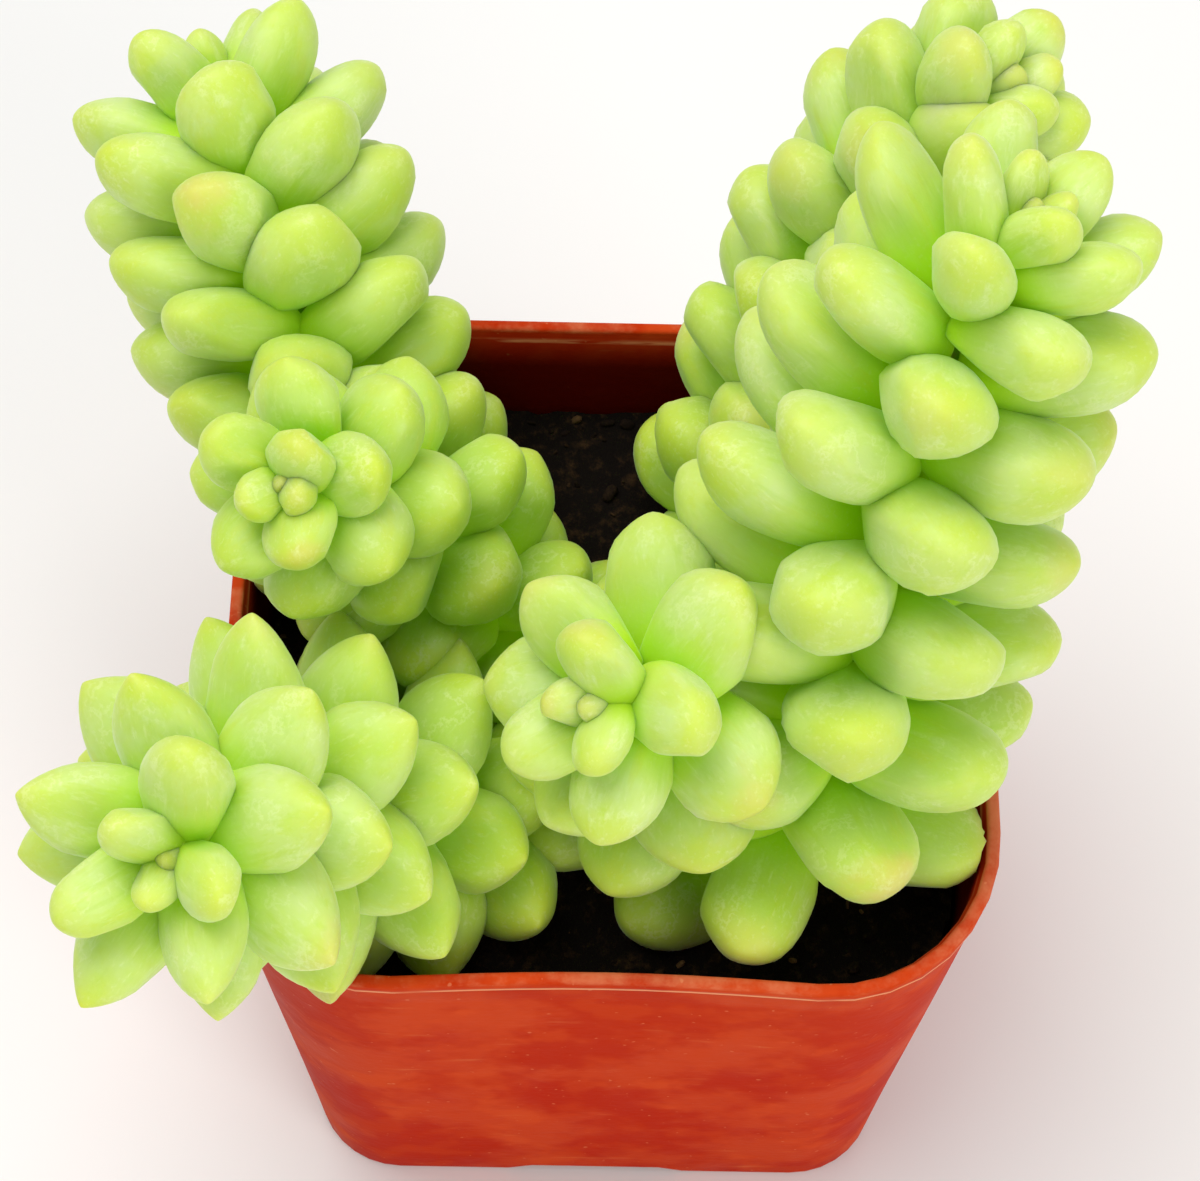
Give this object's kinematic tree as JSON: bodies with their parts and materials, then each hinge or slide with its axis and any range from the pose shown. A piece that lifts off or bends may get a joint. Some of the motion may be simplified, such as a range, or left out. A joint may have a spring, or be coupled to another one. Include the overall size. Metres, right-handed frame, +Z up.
{
  "type": "potted burro's tail plant",
  "caption": "Burro's tail succulent with plump leafy shoots rising and leaning out of a small square terracotta-coloured plastic pot of dark soil.",
  "frame": {"origin": "middle of the pot's underside, on the surface that it stands on", "axes": "+Z up; -Y towards the pot's front side, which the camera looks at from above; +X to the front's right"},
  "size_m": [0.0856, 0.0893, 0.1145],
  "materials": {
    "pot_plastic": "satin terracotta-red moulded plastic, faintly scuffed and dusty",
    "soil_mix": "damp near-black peat and bark mix with a few brown flecks",
    "stem_skin": "pale green fleshy stem with leaf scars",
    "leaf_skin": "waxy, translucent pale green leaf skin with a thin bloom and yellower tips",
    "bud_skin": "waxy young leaf skin, paler than the grown leaves"
  },
  "bodies": {
    "root": {"square_pot": "pot_plastic", "soil": "soil_mix", "stem_left_back": "stem_skin", "stem_left_middle": "stem_skin", "stem_left_front": "stem_skin", "stem_centre": "stem_skin", "stem_right_tall": "stem_skin", "stem_right_back": "stem_skin", "leaves_left_back": "leaf_skin", "leaves_left_middle": "leaf_skin", "leaves_left_front": "leaf_skin", "leaves_centre": "leaf_skin", "leaves_right_tall": "leaf_skin", "leaves_right_back": "leaf_skin", "bud_left_back": "bud_skin", "bud_left_middle": "bud_skin", "bud_left_front": "bud_skin", "bud_centre": "bud_skin", "bud_right_tall": "bud_skin", "bud_right_back": "bud_skin"}
  },
  "joints": []
}
